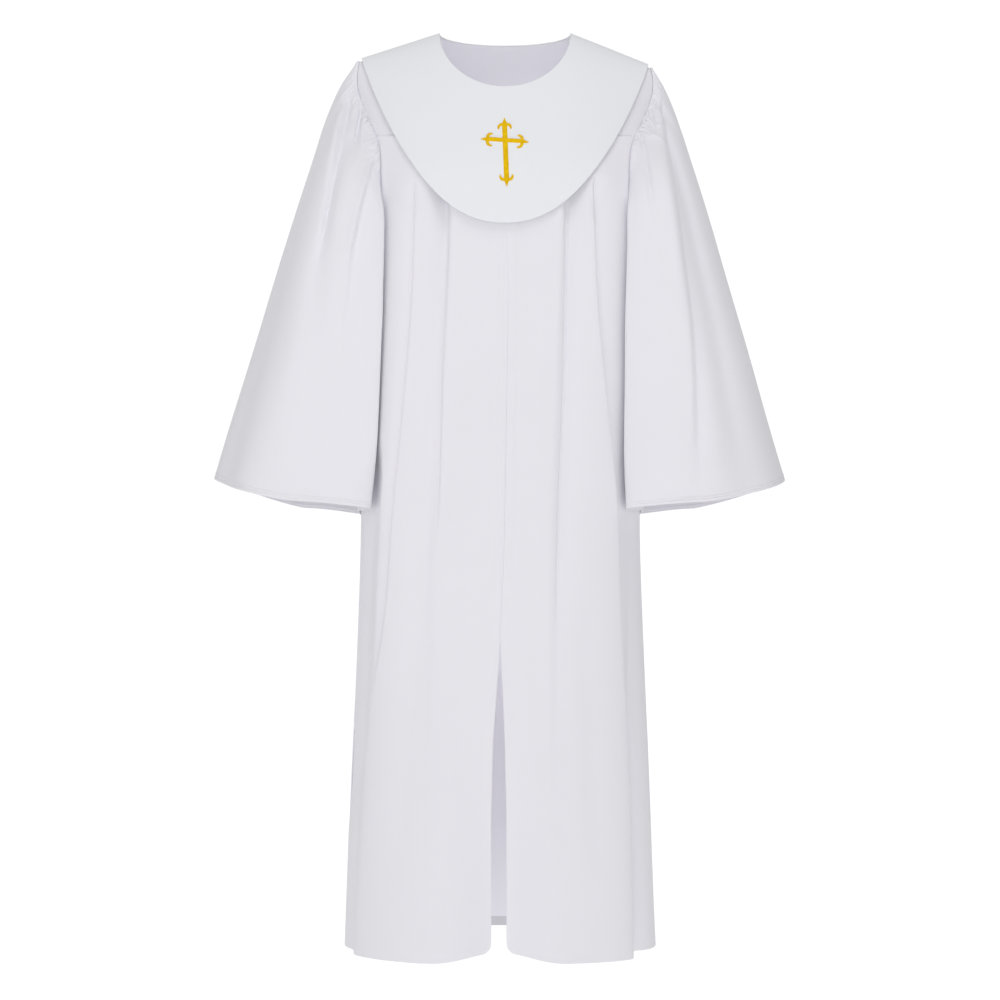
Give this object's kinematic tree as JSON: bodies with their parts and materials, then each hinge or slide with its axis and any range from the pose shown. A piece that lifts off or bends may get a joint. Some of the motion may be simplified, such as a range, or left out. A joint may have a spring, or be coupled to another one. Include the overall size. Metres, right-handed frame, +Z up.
{
  "type": "clergy robe",
  "caption": "Full-length robe with pleated fronts on a yoke, gathered bell sleeves, a front slit and a stiff round overlay collar with a gold cross.",
  "frame": {"origin": "midway between the two shoulder points beside the neck, where the wearer's shoulders hold the robe", "axes": "+Z up, -Y to the front of the robe, +X to the wearer's left"},
  "size_m": [0.8265, 0.3317, 1.3176],
  "materials": {
    "robe_cloth": "matte white woven polyester",
    "collar_cloth": "smooth stiffened white cloth",
    "gold_thread": "gold satin-stitched thread"
  },
  "bodies": {
    "root": {"front_left": "robe_cloth", "front_right": "robe_cloth", "back": "robe_cloth", "yoke_front_left": "robe_cloth", "yoke_front_right": "robe_cloth", "yoke_back": "robe_cloth", "sleeve_left": "robe_cloth", "sleeve_right": "robe_cloth", "collar": "collar_cloth", "cross": "gold_thread"}
  },
  "joints": []
}
